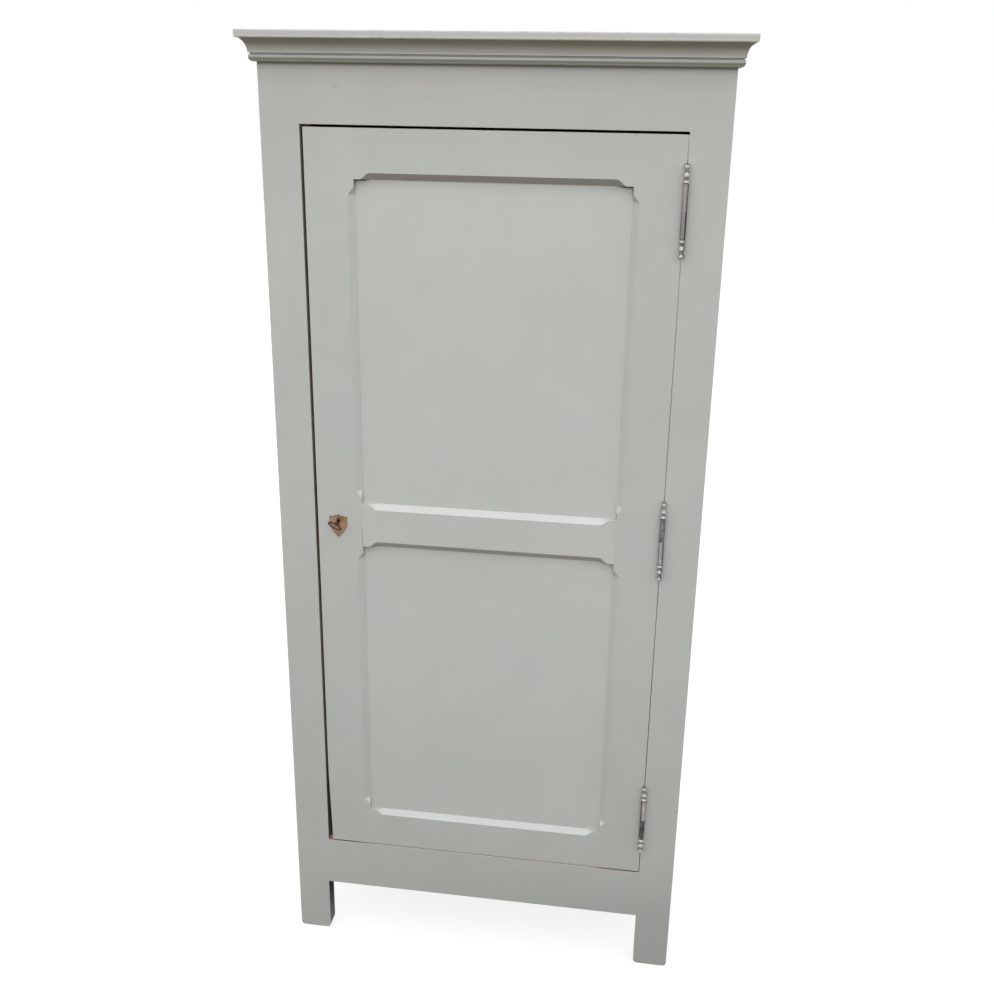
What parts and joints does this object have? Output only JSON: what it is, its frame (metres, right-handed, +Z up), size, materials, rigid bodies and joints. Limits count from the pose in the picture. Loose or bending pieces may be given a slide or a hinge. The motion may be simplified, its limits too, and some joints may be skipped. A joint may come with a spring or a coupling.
{
  "type": "bonnetiere cabinet",
  "caption": "Tall narrow painted linen cabinet: framed door with stopped chamfers, turned pin hinges, working lock and key, loose shelves, moulded cornice and square feet.",
  "frame": {"origin": "on the floor, under the middle of the cabinet's whole outline, in which the bow of the key reaches furthest forward", "axes": "+X to the right of someone facing the door, +Y to the back, +Z up"},
  "size_m": [0.816, 0.464, 1.75],
  "materials": {
    "painted_wood": "old satin paint, pale warm grey-green, brushed on",
    "bare_wood": "unpainted aged pine, waxed",
    "hinge_steel": "polished by hand, slightly browned",
    "lock_steel": "dull, greased",
    "dark_iron": "dark brown, worn smooth",
    "worn_brass": "copper brown, brushed and worn"
  },
  "bodies": {
    "case": {"back_board_1": "bare_wood", "back_board_2": "bare_wood", "back_board_3": "bare_wood", "back_board_4": "bare_wood", "back_bottom_rail": "bare_wood", "back_top_rail": "bare_wood", "bottom_rail": "painted_wood", "cleat_left_1": "bare_wood", "cleat_left_2": "bare_wood", "cleat_left_3": "bare_wood", "cleat_right_1": "bare_wood", "cleat_right_2": "bare_wood", "cleat_right_3": "bare_wood", "cornice_front": "painted_wood", "cornice_left": "painted_wood", "cornice_right": "painted_wood", "door_stop": "bare_wood", "floor_board": "bare_wood", "front_stile_left": "painted_wood", "front_stile_right": "painted_wood", "hinge_lower_case_leaf": "hinge_steel", "hinge_lower_pin": "hinge_steel", "hinge_middle_case_leaf": "hinge_steel", "hinge_middle_pin": "hinge_steel", "hinge_upper_case_leaf": "hinge_steel", "hinge_upper_pin": "hinge_steel", "rear_post_left": "painted_wood", "rear_post_right": "painted_wood", "shelf_1": "bare_wood", "shelf_2": "bare_wood", "shelf_3": "bare_wood", "side_bottom_rail_left": "painted_wood", "side_bottom_rail_right": "painted_wood", "side_panel_left": "painted_wood", "side_panel_right": "painted_wood", "side_top_rail_left": "painted_wood", "side_top_rail_right": "painted_wood", "strike_plate": "lock_steel", "top_board": "painted_wood", "top_rail": "painted_wood"},
    "door": {"door_bottom_rail": "painted_wood", "door_hinge_stile": "painted_wood", "door_lock_stile": "painted_wood", "door_mid_rail": "painted_wood", "door_panel_lower": "painted_wood", "door_panel_upper": "painted_wood", "door_top_rail": "painted_wood", "escutcheon": "worn_brass", "hinge_lower_door_leaf": "hinge_steel", "hinge_middle_door_leaf": "hinge_steel", "hinge_upper_door_leaf": "hinge_steel", "lock_case": "lock_steel", "lock_cover": "lock_steel", "lock_spring": "lock_steel"},
    "key": {"key": "dark_iron"},
    "lock_bolt": {"lock_bolt": "lock_steel"}
  },
  "joints": [
    {"name": "door_hinge", "type": "hinge", "parent": "case", "child": "door", "pos_m": [0.3144, -0.2036, 0.9235], "axis": [0, 0, 1], "range_deg": [0, 180]},
    {"name": "key_turn", "type": "hinge", "parent": "door", "child": "key", "pos_m": [-0.2714, -0.198, 0.9185], "axis": [0, -1, 0], "range_deg": [0, 236]},
    {"name": "bolt_slide", "type": "slide", "parent": "door", "child": "lock_bolt", "axis": [-1, 0, 0], "range_m": [0, 0.012]}
  ],
  "couplings": [
    {"joint": "key_turn", "follows": "bolt_slide", "rad_per_m": 343.24}
  ]
}
